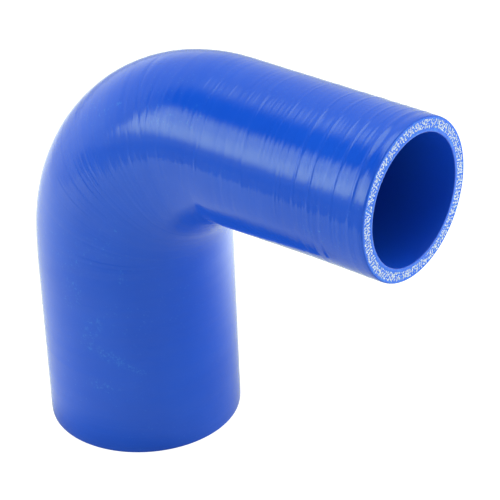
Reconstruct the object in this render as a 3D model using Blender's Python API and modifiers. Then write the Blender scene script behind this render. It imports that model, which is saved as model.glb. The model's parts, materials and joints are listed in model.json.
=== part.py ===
"""Silicone elbow hose: a 90 degree reducing elbow with one continuous wall.

Metres, +Z up. The hose stands on its large cut end, and its small leg points along +X.
The origin lies on the floor, under the middle of the hose's bounding box.
"""

import math

import bpy
from mathutils import Vector

# Bores and wall
LARGE_BORE = 0.051
SMALL_BORE = 0.038
WALL = 0.0047

# Legs, each from its cut end to the corner where the two straight centrelines would cross
LARGE_LEG = 0.105
SMALL_LEG = 0.104

# Bend, measured on the centreline
BEND_RADIUS = 0.041
BEND_ANGLE = math.radians(90)

# The taper starts this far before the bend and ends this far after it
TAPER_LEAD = 0.010
TAPER_RUN_OUT = 0.003

# Rounding of the four edges at the cut ends
RIM_ROUND = 0.0005
RIM_SEGMENTS = 2
SHARP_EDGE = math.radians(60)

# Fineness of the mesh
SIDES = 60
LEG_STEPS = 3
LEAD_STEPS = 4
BEND_STEPS = 24
RUN_OUT_STEPS = 1

# Colours, as linear red, green and blue
SILICONE_BLUE = (0.012, 0.085, 0.48)
PLY_BLUE = (0.22, 0.36, 0.86)

# Outer radii of the two legs
LARGE_RADIUS = LARGE_BORE / 2 + WALL
SMALL_RADIUS = SMALL_BORE / 2 + WALL

# Distances along the centreline, from the large cut end
CORNER_CUT = BEND_RADIUS * math.tan(BEND_ANGLE / 2)
BEND_START = LARGE_LEG - CORNER_CUT
BEND_END = BEND_START + BEND_RADIUS * BEND_ANGLE
HOSE_LENGTH = BEND_END + SMALL_LEG - CORNER_CUT
TAPER_START = BEND_START - TAPER_LEAD
TAPER_END = BEND_END + TAPER_RUN_OUT


def clear_scene():
    for obj in list(bpy.data.objects):
        bpy.data.objects.remove(obj, do_unlink=True)


def hose_collection():
    collection = bpy.data.collections.new("silicone_elbow_hose")
    bpy.context.scene.collection.children.link(collection)
    return collection


def plain_material(name, colour, roughness):
    material = bpy.data.materials.new(name)
    material.use_nodes = True
    surface = material.node_tree.nodes["Principled BSDF"]
    surface.inputs["Base Color"].default_value = (*colour, 1)
    surface.inputs["Roughness"].default_value = roughness
    surface.inputs["Metallic"].default_value = 0
    return material


def silicone():
    return plain_material("blue_silicone", SILICONE_BLUE, 0.3)


def cut_ply():
    """The cut ends, where the pale reinforcement fabric shows in the wall."""
    return plain_material("cut_ply", PLY_BLUE, 0.6)


def centreline_point(distance):
    """The point of the centreline at this distance from the large cut end."""
    turned = min(max(distance - BEND_START, 0), BEND_END - BEND_START) / BEND_RADIUS
    across = BEND_RADIUS * (1 - math.cos(turned))
    up = min(distance, BEND_START) + BEND_RADIUS * math.sin(turned)
    past_bend = max(distance - BEND_END, 0)
    heading = Vector((math.sin(turned), 0, math.cos(turned)))
    return Vector((across, 0, up)) + past_bend * heading


def outer_radius(distance):
    """Large on the first leg, small on the second, with a smooth taper through the bend."""
    share = (distance - TAPER_START) / (TAPER_END - TAPER_START)
    share = min(max(share, 0), 1)
    eased = share * share * (3 - 2 * share)
    return LARGE_RADIUS + eased * (SMALL_RADIUS - LARGE_RADIUS)


def stations():
    """Distances along the centreline at which the wall has a ring of points."""
    stretches = (
        (0, TAPER_START, LEG_STEPS),
        (TAPER_START, BEND_START, LEAD_STEPS),
        (BEND_START, BEND_END, BEND_STEPS),
        (BEND_END, TAPER_END, RUN_OUT_STEPS),
        (TAPER_END, HOSE_LENGTH, LEG_STEPS),
    )
    distances = [0]
    for start, end, steps in stretches:
        for step in range(1, steps + 1):
            distances.append(start + (end - start) * step / steps)
    return distances


def outer_tube(collection):
    """A curve whose bevel is the outside of the hose, open at both ends."""
    curve = bpy.data.curves.new("outer_tube", "CURVE")
    curve.dimensions = "3D"
    curve.fill_mode = "FULL"
    curve.use_fill_caps = False
    curve.bevel_depth = LARGE_RADIUS
    curve.bevel_resolution = (SIDES - 4) // 2
    distances = stations()
    spline = curve.splines.new("POLY")
    spline.points.add(len(distances) - 1)
    for point, distance in zip(spline.points, distances):
        point.co = (*centreline_point(distance), 1)
        point.radius = outer_radius(distance) / LARGE_RADIUS
    tube = bpy.data.objects.new("outer_tube", curve)
    collection.objects.link(tube)
    return tube


def as_mesh(tube, name, collection):
    """A mesh object in the curve's place. The curve itself is removed."""
    bpy.context.view_layer.update()
    evaluated = tube.evaluated_get(bpy.context.evaluated_depsgraph_get())
    obj = bpy.data.objects.new(name, bpy.data.meshes.new_from_object(evaluated))
    obj.matrix_world = tube.matrix_world
    collection.objects.link(obj)
    bpy.data.objects.remove(tube, do_unlink=True)
    return obj


def give_wall(hose):
    """The wall grows inwards from the outside, so the bore follows the bend and the taper."""
    wall = hose.modifiers.new("wall", "SOLIDIFY")
    wall.thickness = WALL
    wall.offset = -1
    wall.use_even_offset = True
    wall.material_offset_rim = 1


def round_rims(hose):
    """The edges of the two cut ends."""
    rims = hose.modifiers.new("rims", "BEVEL")
    rims.width = RIM_ROUND
    rims.segments = RIM_SEGMENTS
    rims.limit_method = "ANGLE"
    rims.angle_limit = SHARP_EDGE
    rims.harden_normals = True


def middle_of_reach():
    """How far the middle of the bounding box lies from the axis of the large leg."""
    far_rim = SMALL_LEG * math.sin(BEND_ANGLE) + SMALL_RADIUS * abs(math.cos(BEND_ANGLE))
    return (far_rim - LARGE_RADIUS) / 2


def elbow_hose(collection):
    hose = as_mesh(outer_tube(collection), "elbow_hose", collection)
    hose.data.name = "elbow_hose"
    hose.data.materials.append(silicone())
    hose.data.materials.append(cut_ply())
    hose.data.shade_smooth()
    give_wall(hose)
    round_rims(hose)
    hose.location.x = -middle_of_reach()
    return hose


clear_scene()
elbow_hose(hose_collection())
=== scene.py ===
"""Silicone elbow hose, dressed: wrapped cover, smooth bore, and woven plies in the two cut ends."""

import json
import math
import random

import bpy
import numpy as np
from mathutils import Matrix, Vector


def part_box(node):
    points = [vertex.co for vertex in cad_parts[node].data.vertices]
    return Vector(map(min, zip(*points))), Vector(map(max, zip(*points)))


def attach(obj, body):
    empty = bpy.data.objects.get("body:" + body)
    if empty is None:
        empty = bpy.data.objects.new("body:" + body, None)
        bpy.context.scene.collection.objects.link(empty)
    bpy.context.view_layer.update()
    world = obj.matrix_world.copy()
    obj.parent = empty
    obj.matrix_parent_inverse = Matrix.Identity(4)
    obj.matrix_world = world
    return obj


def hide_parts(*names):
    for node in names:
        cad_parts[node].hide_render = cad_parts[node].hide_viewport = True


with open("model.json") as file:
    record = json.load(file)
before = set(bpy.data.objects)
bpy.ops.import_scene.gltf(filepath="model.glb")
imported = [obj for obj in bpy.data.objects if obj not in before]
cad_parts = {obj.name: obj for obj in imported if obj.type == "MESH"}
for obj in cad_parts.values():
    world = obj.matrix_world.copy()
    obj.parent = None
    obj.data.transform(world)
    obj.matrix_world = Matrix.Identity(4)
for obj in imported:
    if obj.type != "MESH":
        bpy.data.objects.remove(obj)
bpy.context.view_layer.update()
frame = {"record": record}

MM = 0.001

# Hose sizes, in metres, as in the solid
WALL = 4.7 * MM
SMALL_BORE = 38 * MM
BEND_RADIUS = 41 * MM
BEND_ANGLE = math.radians(90)
TAPER_LEAD = 10 * MM
TAPER_RUN_OUT = 3 * MM

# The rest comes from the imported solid's own box
LOW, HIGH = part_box("elbow_hose")
LARGE_RADIUS = (HIGH.y - LOW.y) / 2
SMALL_RADIUS = SMALL_BORE / 2 + WALL
AXIS_X = LOW.x + LARGE_RADIUS
SMALL_END_X = HIGH.x
MOUNTS = {mount["name"]: Vector(mount["pos_m"]) for mount in frame["record"]["mounts"]}
LARGE_LEG = MOUNTS["small_end"].z - (SMALL_BORE + WALL) / 2
BEND_START = LARGE_LEG - BEND_RADIUS
BEND_LENGTH = BEND_RADIUS * BEND_ANGLE
BEND_END = BEND_START + BEND_LENGTH
BEND_X = AXIS_X + BEND_RADIUS
HOSE_LENGTH = BEND_END + SMALL_END_X - BEND_X
TAPER_START = BEND_START - TAPER_LEAD
TAPER_END = BEND_END + TAPER_RUN_OUT

# Rounding of the cover's and the bore's edges at the cut ends
RIM_ROUND = 0.55 * MM
BORE_EDGE_ROUND = 0.25 * MM
PAST_ROUND = 1.02

# The cover rolls off a little before each cut edge
ROLL_OFF = 2.0 * MM
ROLL_OFF_DEPTH = 0.15 * MM

# Fineness of the mesh. A leg's longest edges are cut once for each number, into that many rings
SIDES = 128
COVER_CUTS_ALONG_X = (62, 3)
COVER_CUTS_ALONG_Z = (63, 1)
COVER_BEND_STEPS = 240
BORE_CUTS = (23,)
BORE_BEND_STEPS = 32
RIM_STEPS = 5
FACE_CUTS = 10

# Where points count as one, or as on a cut end, and how near the longest an edge counts as long
SAME_PLACE = 0.001 * MM
AT_END = 0.01 * MM
NEARLY_LONGEST = 0.9

# Cut ends, from the bore outwards: liner, woven plies, cover
PLY_RADII_FROM_BORE = (1.45 * MM, 2.35 * MM, 3.2 * MM)
PLY_BAND_FROM_BORE = (0.95 * MM, 3.7 * MM)
PLY_BAND_SOFT = 0.1 * MM
PLY_RECESS = 0.15 * MM

# Cut yarns: the turn is in radians, the drift is a share of the spacing, the shift is in or out
YARN_RADIUS = 0.29 * MM
YARN_UNEVENNESS = (0.85, 1.15)
YARN_TIP = 0.7
STROKE_SPACING = 1.08 * MM
STROKE_SIZE = (0.95, 1.3)
STROKE_TURN = 0.5
STROKE_DRIFT = 0.15
STROKE_SHIFT = 0.1 * MM
SMALL_END_SEED = 3
LARGE_END_SEED = 5

# Shapes of the cut yarns, in mm round the ring and outwards
STROKE_SHAPES = (
    ((0.0, -0.45), (0.05, 0.0), (0.0, 0.45)),
    ((-0.3, -0.35), (0.0, 0.0), (0.3, 0.35)),
    ((-0.35, -0.25), (-0.15, 0.2), (0.15, 0.2), (0.35, -0.25)),
    ((-0.3, 0.35), (-0.3, -0.1), (0.0, -0.35), (0.3, -0.1)),
    ((-0.35, 0.1), (0.0, 0.2), (0.35, -0.1)),
    ((-0.1, -0.4), (-0.15, 0.1), (0.1, 0.35), (0.35, 0.2)),
    ((-0.1, 0.0), (0.1, 0.05)),
)

# Lines that the edges of the curing tape left: place on the outside of the bend, how far the line
# has moved on where it passes the side of the hose, height (below zero for a groove) and width, in mm
TAPE_LINES = (
    (95.2, 1.2, -0.03, 0.6),
    (109.0, 5.0, -0.04, 0.7),
    (112.7, 5.5, -0.06, 0.8),
    (120.3, 2.0, -0.02, 0.8),
    (123.5, 4.0, -0.03, 0.6),
    (125.8, 4.0, -0.03, 0.6),
    (128.0, 4.0, 0.03, 0.6),
    (129.8, 3.5, 0.03, 0.6),
    (131.5, 3.0, 0.03, 0.6),
    (133.0, 1.5, 0.05, 0.6),
    (134.8, 1.0, 0.02, 0.7),
    (143.2, 1.0, 0.025, 0.8),
    (144.6, 0.8, 0.02, 0.7),
    (148.0, 3.0, 0.07, 0.8),
    (154.6, 1.5, 0.03, 0.7),
    (158.0, 1.0, 0.045, 0.7),
    (160.7, 1.5, 0.05, 0.7),
    (167.0, 1.5, 0.10, 0.8),
    (172.3, 1.0, 0.12, 0.9),
    (177.5, 0.0, 0.06, 0.8),
    (180.6, 0.0, 0.10, 0.8),
    (183.9, 0.0, 0.06, 0.8),
    (186.8, 0.0, 0.15, 1.1),
    (188.3, 0.0, -0.06, 0.9),
)

# The lines come and go by this share round the hose, and keep part of their height past the sides
TAPE_LINE_FADE = 0.2
TAPE_LINE_SIDES = (math.radians(60), math.radians(98))
TAPE_LINE_PAST_SIDES = 0.35

# The cover is drawn back this far, so that no ridge stands proud of the solid
TAPE_LINE_ROOM = 0.15 * MM

# Finer lines, strewn at random: each reaches some way round the hose, in radians
FINE_LINES = 420
FINE_LINE_HEIGHT = (0.003 * MM, 0.012 * MM)
FINE_LINE_WIDTH = (0.5 * MM, 1.0 * MM)
FINE_LINE_REACH = (0.3, 1.8)
FINE_LINE_FROM_END = 2 * MM
FINE_LINE_SEED = 11

# How far a fine line has moved on where it passes the side of the hose, by its place on the hose
LEAN_PLACES = (90 * MM, 110 * MM, 118 * MM, 150 * MM, 175 * MM)
LEANS = (0, 5 * MM, 5 * MM, 1.5 * MM, -0.5 * MM)

# Slow swells of the cover: length and depth in mm, and phase in radians
SWELLS = ((7.3, 0.012, 0.4), (11.9, 0.02, 2.1), (4.1, 0.006, 1.3))
SWELL_DRIFT = 0.6

# Inside corner of the elbow: a wider round than the bend alone would give, which runs out along
# the small leg. It grows from nothing to full between two angles round the hose
THROAT_ROUND = 19.4 * MM
THROAT_SIDES = (math.radians(98), math.radians(150))
THROAT_TAIL = 0.8 * MM
THROAT_TAIL_END = 175 * MM

# Places on the hose are kept for the finishes as distance and a point on a circle of this radius
WRAP_RADIUS = 10 * MM

# Camera: the photograph's viewing angle, round the point that it aims at, which lies half a pixel
# off the middle of the picture. Lens and sensor are in mm
CAMERA_AIM = Vector((8.99 * MM, 0, 70.02 * MM))
CAMERA_DISTANCE = 614.5 * MM
CAMERA_AZIMUTH = 40.31
CAMERA_ELEVATION = 29.97
CAMERA_ROLL = math.radians(-2.305)
CAMERA_LENS = 152.43
CAMERA_SENSOR = 36
CAMERA_NEAREST = 10 * MM
HALF_PIXEL = 0.145 * MM


def deselect_all():
    for obj in bpy.context.selected_objects:
        obj.select_set(False)


def pick(piece):
    """Makes the piece the only one that the next operator works on."""
    deselect_all()
    piece.select_set(True)
    bpy.context.view_layer.objects.active = piece


def start_editing(piece):
    pick(piece)
    bpy.ops.object.mode_set(mode="EDIT")


def stop_editing():
    bpy.ops.object.mode_set(mode="OBJECT")


def read_points(mesh):
    points = np.empty(len(mesh.vertices) * 3)
    mesh.vertices.foreach_get("co", points)
    return points.reshape(-1, 3)


def write_points(mesh, points):
    mesh.vertices.foreach_set("co", points.astype(np.float32).ravel())
    mesh.update()


def smooth_step(share):
    share = np.clip(share, 0, 1)
    return share * share * (3 - 2 * share)


def cover_radius(distance):
    """Outside of the hose: large on the first leg, small on the second, tapered through the bend."""
    eased = smooth_step((distance - TAPER_START) / (TAPER_END - TAPER_START))
    return LARGE_RADIUS + eased * (SMALL_RADIUS - LARGE_RADIUS)


def place_in_hose(points):
    """Distance along the centreline, angle round it, nearest centreline point and the way out from it.

    The angle is 0 on the outside of the bend and grows towards the viewer's side.
    """
    x, y, z = points.T
    turned = np.clip(np.arctan2(z - BEND_START, BEND_X - x), 0, BEND_ANGLE)
    on_large_leg = z <= BEND_START
    on_small_leg = (x >= BEND_X) & ~on_large_leg
    turned = np.where(on_large_leg, 0, np.where(on_small_leg, BEND_ANGLE, turned))
    outer = np.stack([-np.cos(turned), 0 * turned, np.sin(turned)], axis=1)
    centre = np.stack([BEND_X + 0 * x, 0 * y, BEND_START + 0 * z], axis=1) + BEND_RADIUS * outer
    centre[on_large_leg, 2] = z[on_large_leg]
    centre[on_small_leg, 0] = x[on_small_leg]
    distance = BEND_START + BEND_RADIUS * turned
    distance = np.where(on_large_leg, z, distance)
    distance = np.where(on_small_leg, BEND_END + x - BEND_X, distance)
    across = points - centre
    angle = np.arctan2(-across[:, 1], (across * outer).sum(axis=1))
    side = np.tile((0.0, -1.0, 0.0), (len(points), 1))
    outward = np.cos(angle)[:, None] * outer + np.sin(angle)[:, None] * side
    return distance, angle, centre, outward


def place_in_wall(points):
    """Distance along the hose, angle round it, and how far outside the bore each point lies."""
    distance, angle, centre, outward = place_in_hose(points)
    from_centre = np.linalg.norm(points - centre, axis=1)
    return distance, angle, from_centre - (cover_radius(distance) - WALL)


def from_nearer_end(distance):
    return np.minimum(distance, HOSE_LENGTH - distance)


def rounded_edge(distance, size):
    """How far the wall draws back near a cut end whose edge has this rounding."""
    rise = np.clip(1 - from_nearer_end(distance) / size, 0, 1)
    return size * (1 - np.sqrt(1 - rise * rise))


def roll_off(distance):
    return ROLL_OFF_DEPTH * np.clip(1 - from_nearer_end(distance) / ROLL_OFF, 0, 1) ** 2


def ridge(offset, width):
    """A soft ridge of height 1, as wide as given."""
    return np.exp(-4 * (offset / width) ** 2)


def tape_lines(distance, angle):
    """The plain ridges and grooves, which grow faint past the sides of the hose."""
    relief = np.zeros(len(distance))
    to_side = 1 - np.cos(angle)
    full, faint = TAPE_LINE_SIDES
    past_side = smooth_step((np.abs(angle) - full) / (faint - full))
    share = 1 + past_side * (TAPE_LINE_PAST_SIDES - 1)
    for place, lean, height, width in TAPE_LINES:
        fade = 1 - TAPE_LINE_FADE + TAPE_LINE_FADE * np.cos(2 * angle + place)
        offset = distance - (place + lean * to_side) * MM
        relief += height * MM * share * fade * ridge(offset, width * MM)
    return relief


def fine_lines(distance, angle):
    """Fine ridges and grooves that fade out round the hose, at random places."""
    relief = np.zeros(len(distance))
    to_side = 1 - np.cos(angle)
    draw = random.Random(FINE_LINE_SEED)
    for _ in range(FINE_LINES):
        place = draw.uniform(FINE_LINE_FROM_END, HOSE_LENGTH - FINE_LINE_FROM_END)
        middle = draw.uniform(-math.pi, math.pi)
        reach = draw.uniform(*FINE_LINE_REACH)
        height = draw.choice((-1, 1)) * draw.uniform(*FINE_LINE_HEIGHT)
        width = draw.uniform(*FINE_LINE_WIDTH)
        offset = distance - place - np.interp(place, LEAN_PLACES, LEANS) * to_side
        away = (angle - middle + math.pi) % (2 * math.pi) - math.pi
        near = np.abs(offset) < 2 * width
        fade = np.exp(-((away[near] / reach) ** 2))
        relief[near] += height * fade * ridge(offset[near], width)
    return relief


def swells(distance, angle):
    """How deep the cover lies in its slow swells."""
    depth = np.zeros(len(distance))
    for length, deepest, phase in SWELLS:
        drift = SWELL_DRIFT * np.sin(angle + phase)
        swell = np.sin(2 * math.pi * distance / (length * MM) + phase + drift)
        depth += deepest * MM * (1 + swell) / 2
    return depth


def tape_relief(distance, angle):
    """Marks that the curing tape left on the cover, never proud of the solid."""
    lines = tape_lines(distance, angle) + fine_lines(distance, angle)
    return np.minimum(lines - TAPE_LINE_ROOM - swells(distance, angle), 0)


def throat_fill(distance, angle):
    """How far the inside corner of the elbow stands proud of the plain bend."""
    inner_x = AXIS_X + LARGE_RADIUS
    inner_z = LARGE_LEG - SMALL_RADIUS
    middle_x = inner_x + THROAT_ROUND
    middle_z = inner_z - THROAT_ROUND
    turned = np.clip((distance - BEND_START) / BEND_RADIUS, 0, BEND_ANGLE)
    along = (BEND_X - middle_x) * np.cos(turned) - (BEND_START - middle_z) * np.sin(turned)
    away = (BEND_X - middle_x) ** 2 + (BEND_START - middle_z) ** 2
    reach = along + np.sqrt(along**2 - away + THROAT_ROUND**2)
    radius = cover_radius(distance)
    in_bend = BEND_RADIUS - radius - reach
    left = np.clip(middle_x - (BEND_X + distance - BEND_END), 0, THROAT_ROUND)
    on_small_leg = SMALL_RADIUS - radius + THROAT_ROUND - np.sqrt(THROAT_ROUND**2 - left**2)
    above = np.clip(distance - middle_z, 0, THROAT_ROUND)
    on_large_leg = LARGE_RADIUS - radius + THROAT_ROUND - np.sqrt(THROAT_ROUND**2 - above**2)
    depth = np.where(distance > BEND_END, on_small_leg, in_bend)
    depth = np.where(distance < BEND_START, on_large_leg, depth)
    tail = THROAT_TAIL * smooth_step((THROAT_TAIL_END - distance) / (THROAT_TAIL_END - BEND_END))
    tail = np.where(distance > BEND_END, tail, 0)
    start, full = THROAT_SIDES
    side = smooth_step((np.abs(angle) - start) / (full - start))
    return np.maximum(np.maximum(depth, 0), tail) * side


def cover_at(distance, angle):
    edge = rounded_edge(distance, RIM_ROUND) + roll_off(distance)
    return cover_radius(distance) + throat_fill(distance, angle) + tape_relief(distance, angle) - edge


def bore_at(distance, angle):
    return cover_radius(distance) - WALL + rounded_edge(distance, BORE_EDGE_ROUND)


def push_ring(step):
    bpy.ops.mesh.extrude_region_move(TRANSFORM_OT_translate={"value": step})


def cut_long_edges(elbow, axis, cuts):
    """Rings across one straight leg, through the longest edges that run along this axis."""
    mesh = elbow.data
    points = read_points(mesh)
    start_editing(elbow)
    bpy.ops.mesh.select_mode(type="EDGE")
    bpy.ops.mesh.select_all(action="DESELECT")
    stop_editing()
    ends = np.empty(len(mesh.edges) * 2, np.int32)
    mesh.edges.foreach_get("vertices", ends)
    step = np.abs(points[ends[0::2]] - points[ends[1::2]])
    across = np.delete(step, axis, axis=1).max(axis=1)
    length = np.where(across < SAME_PLACE, step[:, axis], 0)
    mesh.edges.foreach_set("select", length > NEARLY_LONGEST * length.max())
    start_editing(elbow)
    bpy.ops.mesh.subdivide(number_cuts=cuts)
    stop_editing()


def grow_elbow(name, radius, cuts_along_x, cuts_along_z, bend_steps, edge):
    """An open elbow of one radius: a ring is pushed up, spun through the bend and pushed on.

    The first and last stretch, as long as the edge's rounding, get rings of their own.
    """
    deselect_all()
    bpy.ops.mesh.primitive_circle_add(vertices=SIDES, radius=radius, location=(AXIS_X, 0, 0))
    elbow = bpy.context.object
    elbow.name = name
    elbow.data.name = name
    bpy.ops.object.transform_apply(location=True, rotation=True, scale=True)
    bpy.ops.object.mode_set(mode="EDIT")
    bpy.ops.mesh.select_all(action="SELECT")
    edge_steps = [edge * (1 - math.cos(math.pi / 2 * n / RIM_STEPS)) for n in range(RIM_STEPS + 1)]
    for before, after in zip(edge_steps, edge_steps[1:]):
        push_ring((0, 0, after - before))
    push_ring((0, 0, BEND_START - edge))
    bpy.ops.mesh.spin(
        steps=bend_steps, angle=BEND_ANGLE, center=(BEND_X, 0, BEND_START), axis=(0, -1, 0)
    )
    push_ring((SMALL_END_X - BEND_X - edge, 0, 0))
    for before, after in zip(reversed(edge_steps[:-1]), reversed(edge_steps[1:])):
        push_ring((after - before, 0, 0))
    stop_editing()
    for cuts in cuts_along_x:
        cut_long_edges(elbow, 0, cuts)
    for cuts in cuts_along_z:
        cut_long_edges(elbow, 2, cuts)
    return elbow


def shape_wall(elbow, radius_at):
    """Moves every point straight out from the centreline to the radius that the hose has there."""
    distance, angle, centre, outward = place_in_hose(read_points(elbow.data))
    radius = radius_at(distance, angle)
    write_points(elbow.data, centre + radius[:, None] * outward)


def at_large_end(point):
    return point[2] < AT_END


def at_small_end(point):
    return point[0] > SMALL_END_X - AT_END


def close_end(hose, at_end):
    """Bridges cover and bore across one cut end, with rings in between."""
    start_editing(hose)
    bpy.ops.mesh.select_mode(type="EDGE")
    bpy.ops.mesh.select_all(action="DESELECT")
    bpy.ops.mesh.select_non_manifold(extend=False, use_boundary=True, use_wire=False)
    stop_editing()
    mesh = hose.data
    points = read_points(mesh)
    for edge in mesh.edges:
        edge.select = edge.select and at_end(points[edge.vertices[0]])
    start_editing(hose)
    bpy.ops.mesh.bridge_edge_loops(number_cuts=FACE_CUTS, interpolation="LINEAR")
    stop_editing()


def sink_plies(hose):
    """The woven band shrinks back a little from each cut face."""
    points = read_points(hose.data)
    distance, angle, depth = place_in_wall(points)
    low, high = PLY_BAND_FROM_BORE
    in_band = (depth > low) & (depth < high)
    points[in_band & (distance < AT_END), 2] += PLY_RECESS
    points[in_band & (distance > HOSE_LENGTH - AT_END), 0] -= PLY_RECESS
    write_points(hose.data, points)


def mark_wrap(hose):
    """Keeps each point's place on the hose, so that the finish can follow the tape round the bend."""
    distance, angle, depth = place_in_wall(read_points(hose.data))
    wrap = np.stack([distance, WRAP_RADIUS * np.cos(angle), WRAP_RADIUS * np.sin(angle)], axis=1)
    place = hose.data.attributes.new("wrap", "FLOAT_VECTOR", "POINT")
    place.data.foreach_set("vector", wrap.astype(np.float32).ravel())
    through = hose.data.attributes.new("through_wall", "FLOAT", "POINT")
    through.data.foreach_set("value", depth.astype(np.float32))


def paint_faces(hose, cover, liner, cut):
    """Cover outside, liner in the bore, cut rubber across the ends, just past the rounded edges."""
    mesh = hose.data
    for finish in (cover, liner, cut):
        mesh.materials.append(finish)
    centres = np.empty(len(mesh.polygons) * 3)
    mesh.polygons.foreach_get("center", centres)
    distance, angle, depth = place_in_wall(centres.reshape(-1, 3))
    slots = np.where(depth > WALL / 2, 0, 1)
    past_liner = depth > PAST_ROUND * BORE_EDGE_ROUND
    under_cover = depth < WALL - PAST_ROUND * RIM_ROUND
    slots[past_liner & under_cover] = 2
    mesh.polygons.foreach_set("material_index", slots.astype(np.int32))
    mesh.update()


def face_outwards(piece):
    start_editing(piece)
    bpy.ops.mesh.select_all(action="SELECT")
    bpy.ops.mesh.normals_make_consistent(inside=False)
    stop_editing()
    piece.data.shade_smooth()


def hose_wall(cover, liner, cut):
    """The whole wall in one mesh: cover, bore and the two cut ends."""
    wall = grow_elbow(
        "hose_wall", LARGE_RADIUS, COVER_CUTS_ALONG_X, COVER_CUTS_ALONG_Z, COVER_BEND_STEPS, RIM_ROUND
    )
    bore = grow_elbow(
        "bore", LARGE_RADIUS - WALL, BORE_CUTS, BORE_CUTS, BORE_BEND_STEPS, BORE_EDGE_ROUND
    )
    shape_wall(wall, cover_at)
    shape_wall(bore, bore_at)
    pick(wall)
    bore.select_set(True)
    bpy.ops.object.join()
    close_end(wall, at_large_end)
    close_end(wall, at_small_end)
    sink_plies(wall)
    face_outwards(wall)
    mark_wrap(wall)
    paint_faces(wall, cover, liner, cut)
    return wall


def ply_strokes(draw, ply_radius):
    """Cut yarns of one ply: bent strokes and dots, as points of (angle, radius, half thickness)."""
    strokes = []
    count = round(2 * math.pi * ply_radius / STROKE_SPACING)
    phase = draw.uniform(0, 2 * math.pi)
    for n in range(count):
        shape = draw.choice(STROKE_SHAPES)
        turn = draw.uniform(-STROKE_TURN, STROKE_TURN) + draw.choice((0, math.pi))
        size = draw.uniform(*STROKE_SIZE)
        middle = phase + 2 * math.pi * (n + draw.uniform(-STROKE_DRIFT, STROKE_DRIFT)) / count
        level = ply_radius + draw.uniform(-STROKE_SHIFT, STROKE_SHIFT)
        thick = YARN_RADIUS * draw.uniform(*YARN_UNEVENNESS)
        points = []
        for number, (x, y) in enumerate(shape):
            along = size * (x * math.cos(turn) - y * math.sin(turn)) * MM
            out = size * (x * math.sin(turn) + y * math.cos(turn)) * MM
            at_tip = number in (0, len(shape) - 1)
            taper = YARN_TIP if at_tip else 1
            points.append((middle + along / ply_radius, level + out, thick * taper))
        strokes.append(points)
    return strokes


def yarn_curve(name, strokes, to_world):
    """The strokes as tubes that lie level with the cut face, partly sunk in the ply band."""
    curve = bpy.data.curves.new(name, "CURVE")
    curve.dimensions = "3D"
    curve.bevel_depth = 1
    curve.bevel_resolution = 1
    curve.use_fill_caps = True
    for stroke in strokes:
        spline = curve.splines.new("POLY")
        spline.points.add(len(stroke) - 1)
        for point, (angle, radius, thick) in zip(spline.points, stroke):
            place = (radius * math.cos(angle), radius * math.sin(angle), thick)
            point.co = (*(to_world @ Vector(place)), 1)
            point.radius = thick
    return curve


def end_yarns(name, bore_radius, to_world, seed, finish):
    """The cut yarns of all plies at one end."""
    draw = random.Random(seed)
    strokes = []
    for from_bore in PLY_RADII_FROM_BORE:
        strokes += ply_strokes(draw, bore_radius + from_bore)
    yarns = bpy.data.objects.new(name, yarn_curve(name, strokes, to_world))
    bpy.context.scene.collection.objects.link(yarns)
    pick(yarns)
    bpy.ops.object.convert(target="MESH")
    start_editing(yarns)
    bpy.ops.mesh.select_all(action="SELECT")
    bpy.ops.mesh.remove_doubles(threshold=2 * SAME_PLACE)
    stop_editing()
    face_outwards(yarns)
    yarns.data.materials.append(finish)
    return yarns


def small_end_place():
    """Flat ring coordinates, with depth into the wall as the third, set on the small cut end."""
    columns = Matrix(((0, 0, -1), (0, 1, 0), (1, 0, 0))).to_4x4()
    return Matrix.Translation((SMALL_END_X, 0, LARGE_LEG)) @ columns


def large_end_place():
    return Matrix.Translation((AXIS_X, 0, 0))


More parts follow.
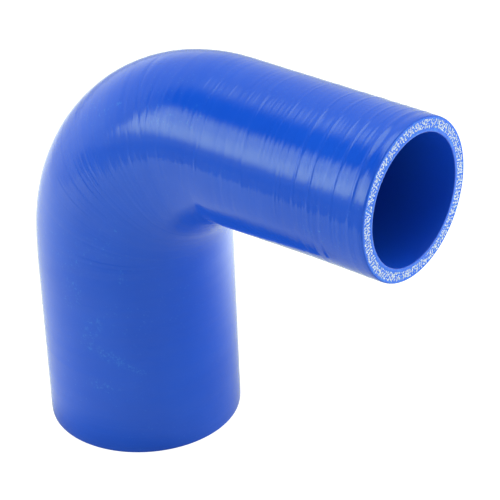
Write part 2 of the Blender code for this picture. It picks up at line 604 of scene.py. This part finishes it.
class Recipe:
    """A node tree under construction: adds nodes and joins them up."""

    def __init__(self, tree):
        self.tree = tree

    def node(self, kind, settings=(), **inputs):
        made = self.tree.nodes.new(kind)
        for key, value in dict(settings).items():
            setattr(made, key, value)
        for key, value in inputs.items():
            self.feed(made.inputs[key.replace("_", " ")], value)
        return made

    def feed(self, socket, value):
        if isinstance(value, bpy.types.NodeSocket):
            self.tree.links.new(value, socket)
        else:
            socket.default_value = value

    def feed_in_turn(self, sockets, values):
        for socket, value in zip(sockets, values):
            self.feed(socket, value)

    def attribute(self, name):
        return self.node("ShaderNodeAttribute", {"attribute_name": name})

    def stretched(self, vector, scale):
        return self.node("ShaderNodeMapping", Vector=vector, Scale=scale).outputs["Vector"]

    def noise(self, vector, scale=1.0, detail=2.0, roughness=0.5):
        made = self.node("ShaderNodeTexNoise", Vector=vector, Scale=scale, Detail=detail)
        self.feed(made.inputs["Roughness"], roughness)
        return made.outputs["Fac"]

    def remap(self, value, low, high, to_low=0.0, to_high=1.0, smooth=False):
        settings = {"interpolation_type": "SMOOTHSTEP" if smooth else "LINEAR"}
        made = self.node(
            "ShaderNodeMapRange", settings,
            Value=value, From_Min=low, From_Max=high, To_Min=to_low, To_Max=to_high,
        )
        return made.outputs["Result"]

    def math(self, operation, first, second=0.0):
        made = self.node("ShaderNodeMath", {"operation": operation})
        self.feed_in_turn(made.inputs, (first, second))
        return made.outputs["Value"]

    def dot(self, vector, fixed):
        made = self.node("ShaderNodeVectorMath", {"operation": "DOT_PRODUCT"})
        self.feed_in_turn(made.inputs, (vector, fixed))
        return made.outputs["Value"]

    def distance(self, vector, fixed):
        made = self.node("ShaderNodeVectorMath", {"operation": "DISTANCE"})
        self.feed_in_turn(made.inputs, (vector, fixed))
        return made.outputs["Value"]

    def from_line(self, point, start, end):
        """Distance of a point from the straight line between two fixed points."""
        span = end - start
        start_share = start.dot(span) / span.length_squared
        share = self.math("SUBTRACT", self.dot(point, span / span.length_squared), start_share)
        nearest = self.node("ShaderNodeVectorMath", {"operation": "MULTIPLY_ADD"})
        self.feed_in_turn(nearest.inputs, (span, self.remap(share, 0.0, 1.0), start))
        return self.distance(point, nearest.outputs["Vector"])

    def blend(self, factor, first, second):
        """Between two numbers."""
        made = self.node("ShaderNodeMix", {"data_type": "FLOAT"})
        self.feed_in_turn((made.inputs[0], made.inputs[2], made.inputs[3]), (factor, first, second))
        return made.outputs[0]

    def mix(self, factor, first, second):
        """Between two colours."""
        made = self.node("ShaderNodeMix", {"data_type": "RGBA"})
        self.feed_in_turn((made.inputs[0], made.inputs[6], made.inputs[7]), (factor, first, second))
        return made.outputs[2]

    def bump(self, height, distance, under=None):
        made = self.node("ShaderNodeBump", Height=height, Distance=distance)
        if under is not None:
            self.feed(made.inputs["Normal"], under)
        return made.outputs["Normal"]


class Finish(Recipe):
    """A material with one Principled surface."""

    def __init__(self, name):
        self.material = bpy.data.materials.new(name)
        self.material.use_nodes = True
        super().__init__(self.material.node_tree)
        self.surface = self.tree.nodes["Principled BSDF"]

    def give(self, **values):
        for key, value in values.items():
            self.feed(self.surface.inputs[key.replace("_", " ")], value)


def object_place(recipe):
    return recipe.node("ShaderNodeTexCoord").outputs["Object"]


# Colours, as linear red, green and blue
COVER_BLUE = (0.008, 0.092, 0.765, 1)
COVER_BLUE_DEEP = (0.006, 0.083, 0.73, 1)
# Painted shade: the liner's colour deep inside the bore
LINER_PAINTED_SHADE = (0.006, 0.088, 0.54, 1)
CUT_BLUE = (0.030, 0.148, 0.92, 1)
PLY_BLUE = (0.035, 0.157, 0.92, 1)
YARN_WHITE = (0.80, 0.84, 1.0, 1)
YARN_BLUE = (0.50, 0.60, 1.0, 1)
PALE_BLUE = (0.08, 0.40, 0.95, 1)
SHEEN_TINT = (0.85, 1, 0.67, 1)
SILICONE_IOR = 1.475

# Patterns, in cells per metre. Those with three numbers follow the hose: along it, then round it
TAPE_BANDS = (700, 60, 60)
TAPE_GRAIN = (1500, 60, 60)
DRAWN_LINES = (30, 900, 900)
COVER_CLOUDS = 45
COVER_GRAIN = 1700
LINER_CLOUDS = 60
CUT_MOTTLE = 900
YARN_STAIN = 700
YARN_FIBRE = 6000
DUST_CLOUDS = 38
DUST_SPECKS = 640

# Between which of its values a noise pattern takes effect
CLOUD_RANGE = (0.35, 0.65)
LINE_RANGE = (0.3, 0.7)
CUT_MOTTLE_RANGE = (0.45, 0.7)
CUT_MOTTLE_PALER = 0.3
STAIN_RANGE = (0.40, 0.68)

# Depth of the finest relief, which only shades the surface
TAPE_BAND_DEPTH = 0.06 * MM
TAPE_GRAIN_DEPTH = 0.032 * MM
COVER_GRAIN_DEPTH = 0.001 * MM
DRAWN_LINE_DEPTH = 0.01 * MM
CUT_MOTTLE_DEPTH = 0.05 * MM
YARN_FIBRE_DEPTH = 0.04 * MM

# Gloss, and how far in from each end the painted shade of the bore deepens the liner's colour
COVER_ROUGHNESS = (0.07, 0.12)
COVER_SPECULAR = (0.46, 0.54)
LINER_ROUGHNESS = (0.3, 0.42)
LINER_SHADE_REACH = (0, 20 * MM)

# How strongly worn places and dust show, and how much duller they are
WEAR = 0.22
WEAR_ROUGHNESS = 0.3

# Dust: where its clouds lie, how thick it gets, and the size of a speck as a share of a cell
DUST_RANGE = (0.40, 0.64)
DUST_THICKNESS = 0.5
SPECK_EDGES = (0.22, 0.10)

# Worn places on the cover: from and to, as distance in mm and angle round the hose in degrees, half
# width in mm, how thick the marks lie, and how fine they are in cells per metre
SCUFFS = (
    ((52.0, 91.0), (57.0, 94.0), 5.0, 0.62, 900),
    ((60.0, 86.0), (84.0, 118.0), 7.0, 0.30, 700),
    ((38.0, 100.0), (46.0, 106.0), 4.0, 0.70, 900),
    ((36.0, 110.0), (33.0, 120.0), 3.0, 0.85, 1100),
    ((33.0, 119.0), (29.3, 133.0), 1.4, 1.00, 1500),
    ((24.0, 104.0), (23.0, 115.0), 3.0, 0.65, 900),
    ((61.0, 124.0), (66.0, 125.0), 1.0, 0.80, 1200),
    ((105.0, 49.0), (110.0, 46.0), 1.2, 0.85, 900),
    ((100.0, 44.0), (130.0, 52.0), 6.0, 0.25, 700),
    ((172.0, 96.0), (182.0, 104.0), 4.0, 0.30, 900),
)

# A scuff is whole up to this share of its half width. Its marks are the noise above a level, which
# is lower where they lie thicker
SCUFF_CORE = 0.2
SCUFF_LEVEL = 0.64
SCUFF_LEVEL_DROP = 0.14
SCUFF_EDGE = 0.1


def on_cover(distance, angle):
    """The point of the cover at this distance in mm along the hose and this angle in degrees."""
    distance = distance * MM
    angle = math.radians(angle)
    turned = min(max((distance - BEND_START) / BEND_RADIUS, 0), BEND_ANGLE)
    outer = Vector((-math.cos(turned), 0, math.sin(turned)))
    heading = Vector((math.sin(turned), 0, math.cos(turned)))
    past = min(distance - BEND_START, 0) + max(distance - BEND_END, 0)
    centre = Vector((BEND_X, 0, BEND_START)) + BEND_RADIUS * outer + past * heading
    side = Vector((0, -1, 0))
    return centre + float(cover_radius(distance)) * (math.cos(angle) * outer + math.sin(angle) * side)


def dust(finish, place):
    """Pale specks, strewn thinly and in clouds all over the cover."""
    strewn = finish.remap(finish.noise(place, DUST_CLOUDS), *DUST_RANGE, 0.0, DUST_THICKNESS)
    cells = finish.node("ShaderNodeTexVoronoi", Vector=place, Scale=DUST_SPECKS).outputs["Distance"]
    return finish.math("MULTIPLY", finish.remap(cells, *SPECK_EDGES), strewn)


def scuff(finish, place, first, last, half_width, thick, fineness):
    """Marks along one short line, where the cover has rubbed against something."""
    away = finish.from_line(place, on_cover(*first), on_cover(*last))
    near = finish.remap(away, half_width * MM, SCUFF_CORE * half_width * MM, smooth=True)
    grit = finish.noise(place, fineness, detail=3.0, roughness=0.7)
    level = SCUFF_LEVEL - SCUFF_LEVEL_DROP * thick
    return finish.math("MULTIPLY", near, finish.remap(grit, level, level + SCUFF_EDGE))


def worn(finish, place):
    """How worn or dusty the cover is at each place."""
    marks = dust(finish, place)
    for row in SCUFFS:
        marks = finish.math("MAXIMUM", marks, scuff(finish, place, *row))
    return finish.math("MULTIPLY", marks, WEAR)


def wrapped_silicone():
    """Glossy blue cover with the fine lines, dull patches and pale dust of a tape-cured hose."""
    finish = Finish("wrapped_silicone")
    wrap = finish.attribute("wrap").outputs["Vector"]
    place = object_place(finish)
    bands = finish.noise(finish.stretched(wrap, TAPE_BANDS), roughness=0.6)
    lines = finish.noise(finish.stretched(wrap, TAPE_GRAIN), detail=0.0)
    cloud = finish.noise(place, COVER_CLOUDS, detail=3.0, roughness=0.55)
    grain = finish.noise(place, COVER_GRAIN, roughness=0.6)
    marks = worn(finish, place)
    colour = finish.mix(finish.remap(cloud, *CLOUD_RANGE), COVER_BLUE, COVER_BLUE_DEEP)
    relief = finish.bump(lines, TAPE_GRAIN_DEPTH)
    relief = finish.bump(bands, TAPE_BAND_DEPTH, under=relief)
    relief = finish.bump(grain, COVER_GRAIN_DEPTH, under=relief)
    dullness = finish.math("MULTIPLY", marks, WEAR_ROUGHNESS)
    roughness = finish.remap(bands, *LINE_RANGE, *COVER_ROUGHNESS)
    finish.give(
        Base_Color=finish.mix(marks, colour, PALE_BLUE),
        Roughness=finish.math("ADD", roughness, dullness),
        Normal=relief,
        IOR=SILICONE_IOR,
        Specular_IOR_Level=finish.remap(lines, *LINE_RANGE, *COVER_SPECULAR),
        Specular_Tint=SHEEN_TINT,
    )
    return finish.material


def bore_silicone():
    """The liner, moulded smooth on the mandrel, with faint lines from being drawn off it, and painted
    shade that darkens it deeper in the bore.
    """
    finish = Finish("bore_silicone")
    wrap = finish.attribute("wrap").outputs["Vector"]
    cloud = finish.noise(object_place(finish), LINER_CLOUDS)
    drawn = finish.noise(finish.stretched(wrap, DRAWN_LINES))
    along = finish.node("ShaderNodeSeparateXYZ", Vector=wrap).outputs["X"]
    to_end = finish.math("MINIMUM", along, finish.math("SUBTRACT", HOSE_LENGTH, along))
    colour = finish.mix(finish.remap(cloud, *CLOUD_RANGE), COVER_BLUE, COVER_BLUE_DEEP)
    finish.give(
        # Painted shade: the liner darkens with distance in from the nearer cut end
        Base_Color=finish.mix(finish.remap(to_end, *LINER_SHADE_REACH, smooth=True), colour, LINER_PAINTED_SHADE),
        Roughness=finish.remap(cloud, *LINE_RANGE, *LINER_ROUGHNESS),
        Normal=finish.bump(drawn, DRAWN_LINE_DEPTH),
        IOR=SILICONE_IOR,
    )
    return finish.material


def cut_silicone():
    """Knife-cut rubber: matt, a little paler, with the fabric's own blue between the yarns."""
    finish = Finish("cut_silicone")
    depth = finish.attribute("through_wall").outputs["Fac"]
    low, high = PLY_BAND_FROM_BORE
    past_liner = finish.remap(depth, low - PLY_BAND_SOFT, low + PLY_BAND_SOFT)
    under_cover = finish.remap(depth, high + PLY_BAND_SOFT, high - PLY_BAND_SOFT)
    mottle = finish.noise(object_place(finish), CUT_MOTTLE)
    colour = finish.mix(finish.math("MULTIPLY", past_liner, under_cover), CUT_BLUE, PLY_BLUE)
    paler = finish.remap(mottle, *CUT_MOTTLE_RANGE, 0.0, CUT_MOTTLE_PALER)
    finish.give(
        Base_Color=finish.mix(paler, colour, PALE_BLUE),
        Normal=finish.bump(mottle, CUT_MOTTLE_DEPTH),
        Roughness=0.6,
        Specular_IOR_Level=0.3,
    )
    return finish.material


def ply_yarn():
    """Polyester yarn ends, stained by the blue rubber."""
    finish = Finish("ply_yarn")
    place = object_place(finish)
    stain = finish.noise(place, YARN_STAIN)
    finish.give(
        Base_Color=finish.mix(finish.remap(stain, *STAIN_RANGE), YARN_WHITE, YARN_BLUE),
        Normal=finish.bump(finish.noise(place, YARN_FIBRE), YARN_FIBRE_DEPTH),
        Roughness=0.7,
        Sheen_Weight=0.25,
        Sheen_Roughness=0.5,
    )
    return finish.material


# The studio's brightness, with 1 as paper white. A light is its brightness and its direction as azimuth
# and elevation in degrees. A round one fades out between two angles from its middle, and a square one
# has half its width and height and the softness of its edges, all in degrees
LIGHT_TINT = (1, 1.08, 0.92, 1)
PAPER_WHITE = (1, 1, 1, 1)
ROOM_LIGHT = 0.83
FRONT_LIGHT = (0.36, 50, 15)
FRONT_LIGHT_FADE = (55, 95)
BACK_LIGHT = (1.8, 118, 15)
BACK_LIGHT_FADE = (15, 45)
HORIZON_LIGHT = (1.15, -98, -2)
HORIZON_LIGHT_SIZE = (36, 18)
HORIZON_LIGHT_SOFT = (10, 10)
OVERHEAD_LIGHT = (3.0, -103, 81)
OVERHEAD_LIGHT_FADE = (16, 31)
DARK_GAP = (0.08, -56, 49)
DARK_GAP_FADE = (7, 26)
SOFTBOX_LIGHT = (4.2, -36.8, 22.5)
SOFTBOX_SIZE = (16.3, 14.5)
SOFTBOX_SOFT = (4, 6)

# The softbox dims to this between two heights of a direction, with 1 as straight up
SOFTBOX_TOP_LIGHT = 2.9
SOFTBOX_TOP = (0.3, 0.5)

# Directions beside and behind a square light count as this little ahead of it
BARELY_AHEAD = 0.001


def way(azimuth, elevation):
    """Unit vector: azimuth 0 is -Y and 90 is +X, in degrees."""
    azimuth = math.radians(azimuth)
    elevation = math.radians(elevation)
    level = math.cos(elevation)
    return Vector((math.sin(azimuth) * level, -math.cos(azimuth) * level, math.sin(elevation)))


def angle_from(recipe, direction, azimuth, elevation):
    """Angle between each direction and the given one, in degrees."""
    cosine = recipe.dot(direction, way(azimuth, elevation))
    return recipe.math("MULTIPLY", recipe.math("ARCCOSINE", cosine), math.degrees(1))


def round_patch(recipe, direction, base, light, fade):
    """A patch of light that fades out between two angles from its middle."""
    strength, azimuth, elevation = light
    full, gone = fade
    away = angle_from(recipe, direction, azimuth, elevation)
    return recipe.blend(recipe.remap(away, gone, full, smooth=True), base, strength)


def box_patch(recipe, direction, base, light, half_size, soft):
    """A rectangular patch of light with soft edges, in degrees across and up from its middle."""
    strength, azimuth, elevation = light
    across = way(azimuth + 90, 0)
    above = way(azimuth, elevation + 90)
    ahead = recipe.math("MAXIMUM", recipe.dot(direction, way(azimuth, elevation)), BARELY_AHEAD)
    shares = []
    for axis, half, edge in zip((across, above), half_size, soft):
        offset = recipe.math("DIVIDE", recipe.dot(direction, axis), ahead)
        angle = recipe.math("MULTIPLY", recipe.math("ARCTANGENT", offset), math.degrees(1))
        away = recipe.math("ABSOLUTE", angle)
        shares.append(recipe.remap(away, half + edge, half - edge, smooth=True))
    return recipe.blend(recipe.math("MULTIPLY", *shares), base, strength)


def white_room():
    """Studio light: a soft white room, a softbox at the left and a dark gap over it.

    The camera itself sees plain white.
    """
    world = bpy.data.worlds.new("white_room")
    world.use_nodes = True
    bpy.context.scene.world = world
    sky = Recipe(world.node_tree)
    direction = sky.node("ShaderNodeTexCoord").outputs["Generated"]
    height = sky.node("ShaderNodeSeparateXYZ", Vector=direction).outputs["Z"]
    strength, *softbox_way = SOFTBOX_LIGHT
    strength = sky.remap(height, *SOFTBOX_TOP, strength, SOFTBOX_TOP_LIGHT, smooth=True)
    softbox = (strength, *softbox_way)
    light = round_patch(sky, direction, ROOM_LIGHT, FRONT_LIGHT, FRONT_LIGHT_FADE)
    light = round_patch(sky, direction, light, BACK_LIGHT, BACK_LIGHT_FADE)
    light = box_patch(sky, direction, light, HORIZON_LIGHT, HORIZON_LIGHT_SIZE, HORIZON_LIGHT_SOFT)
    light = round_patch(sky, direction, light, OVERHEAD_LIGHT, OVERHEAD_LIGHT_FADE)
    light = round_patch(sky, direction, light, DARK_GAP, DARK_GAP_FADE)
    light = box_patch(sky, direction, light, softbox, SOFTBOX_SIZE, SOFTBOX_SOFT)
    seen = sky.node("ShaderNodeLightPath").outputs["Is Camera Ray"]
    background = sky.tree.nodes["Background"]
    sky.feed(background.inputs["Color"], sky.mix(seen, LIGHT_TINT, PAPER_WHITE))
    sky.feed(background.inputs["Strength"], sky.blend(seen, light, 1.0))


# The floor's emission is painted light: it glows like a lit paper sweep, with pools of light, fall-off
# and a painted contact shadow by the hose's foot. Distances are in metres along the ways named
FLOOR_SIZE = 6.0
FLOOR_WHITE = (0.3, 0.3, 0.3, 1)
LEFT = (-1, 0, 0)
BACK = (0, 1, 0)
ACROSS_FRONT_EDGE = (-0.395, 0.919, 0)
LEFT_RISE = (-30 * MM, 220 * MM)
LEFT_GLOW = (0.42, 1.15)
BACK_FALL = (-60 * MM, 60 * MM)
BACK_FALL_TO = 0.7
# Painted contact shadow: the floor's glow dims round this point by the hose's foot
CONTACT_MIDDLE = (-33 * MM, -17 * MM, 0)
CONTACT_SHADE = 0.35
CONTACT_REACH = (20 * MM, 34 * MM)
FRONT_EDGE = (-190 * MM, -170 * MM)
PAST_FRONT = 0.22
SIDE_EDGE = (365 * MM, 430 * MM)
PAST_SIDE = 0.62
BACK_EDGE = (260 * MM, 380 * MM)
PAST_BACK = 0.4
BACK_GLOW = 0.12
BACK_GLOW_RISE = (0, 60 * MM)
RIGHT_GLOW = 0.55
RIGHT_GLOW_RISE = (-110 * MM, -230 * MM)
HOT_SPOT = 2.7
HOT_SPOT_ENDS = (Vector((30, 200, 0)) * MM, Vector((220, 200, 0)) * MM)
HOT_SPOT_REACH = 165 * MM


def floor_glow(finish, place):
    """Painted light by place: it rises to the left, falls off behind, has a hot spot past the hose, and
    dims to a painted contact shadow by the hose's foot.
    """
    left = finish.dot(place, LEFT)
    back = finish.dot(place, BACK)
    from_front = finish.dot(place, ACROSS_FRONT_EDGE)
    from_contact = finish.distance(place, CONTACT_MIDDLE)
    from_spot = finish.from_line(place, *HOT_SPOT_ENDS)
    glow = finish.remap(left, *LEFT_RISE, *LEFT_GLOW)
    shares = (
        finish.remap(back, *BACK_FALL, 1.0, BACK_FALL_TO, smooth=True),
        finish.remap(back, *BACK_EDGE, 1.0, PAST_BACK, smooth=True),
        finish.remap(left, *SIDE_EDGE, 1.0, PAST_SIDE, smooth=True),
        finish.remap(from_front, *FRONT_EDGE, PAST_FRONT, 1.0, smooth=True),
        finish.remap(from_contact, *CONTACT_REACH, CONTACT_SHADE, 1.0, smooth=True),
    )
    for share in shares:
        glow = finish.math("MULTIPLY", glow, share)
    extras = (
        finish.remap(back, *BACK_GLOW_RISE, 0.0, BACK_GLOW, smooth=True),
        finish.remap(left, *RIGHT_GLOW_RISE, 0.0, RIGHT_GLOW, smooth=True),
        finish.remap(from_spot, HOT_SPOT_REACH, 0.0, 0.0, HOT_SPOT, smooth=True),
    )
    for extra in extras:
        glow = finish.math("ADD", glow, extra)
    return glow


def pale_floor():
    """A floor that the camera sees plain white, overexposed as a paper sweep is; for all other rays its
    emission paints light and a contact shadow.
    """
    deselect_all()
    bpy.ops.mesh.primitive_plane_add(size=FLOOR_SIZE, location=(0, 0, 0))
    floor = bpy.context.object
    floor.name = "floor"
    finish = Finish("floor")
    seen = finish.node("ShaderNodeLightPath").outputs["Is Camera Ray"]
    finish.give(
        Base_Color=FLOOR_WHITE,
        Roughness=0.9,
        IOR=1.1,
        Emission_Color=finish.mix(seen, LIGHT_TINT, PAPER_WHITE),
        Emission_Strength=finish.blend(seen, floor_glow(finish, object_place(finish)), 1.0),
    )
    floor.data.materials.append(finish.material)
    return floor


def photo_camera():
    """The camera stands where the photograph was taken from, and rolls a little."""
    camera = bpy.data.cameras.new("camera")
    camera.sensor_width = CAMERA_SENSOR
    camera.lens = CAMERA_LENS
    camera.clip_start = CAMERA_NEAREST
    obj = bpy.data.objects.new("camera", camera)
    bpy.context.scene.collection.objects.link(obj)
    back = way(CAMERA_AZIMUTH, CAMERA_ELEVATION)
    level_right = way(CAMERA_AZIMUTH + 90, 0)
    level_up = back.cross(level_right)
    right = math.cos(CAMERA_ROLL) * level_right + math.sin(CAMERA_ROLL) * level_up
    up = -math.sin(CAMERA_ROLL) * level_right + math.cos(CAMERA_ROLL) * level_up
    aim = CAMERA_AIM + HALF_PIXEL * (up - right)
    turn = Matrix((right, up, back)).transposed().to_4x4()
    obj.matrix_world = Matrix.Translation(aim + CAMERA_DISTANCE * back) @ turn
    bpy.context.scene.camera = obj


def plain_colours():
    bpy.context.scene.view_settings.view_transform = "Standard"
    bpy.context.scene.view_settings.look = "None"


def dress_hose():
    wall = hose_wall(wrapped_silicone(), bore_silicone(), cut_silicone())
    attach(wall, "root")
    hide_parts("elbow_hose")
    yarn = ply_yarn()
    ends = (
        ("small_end_yarns", SMALL_BORE / 2, small_end_place(), SMALL_END_SEED),
        ("large_end_yarns", LARGE_RADIUS - WALL, large_end_place(), LARGE_END_SEED),
    )
    for name, bore_radius, place, seed in ends:
        yarns = end_yarns(name, bore_radius, place, seed, yarn)
        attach(yarns, "root")


plain_colours()
photo_camera()
white_room()
pale_floor()
dress_hose()
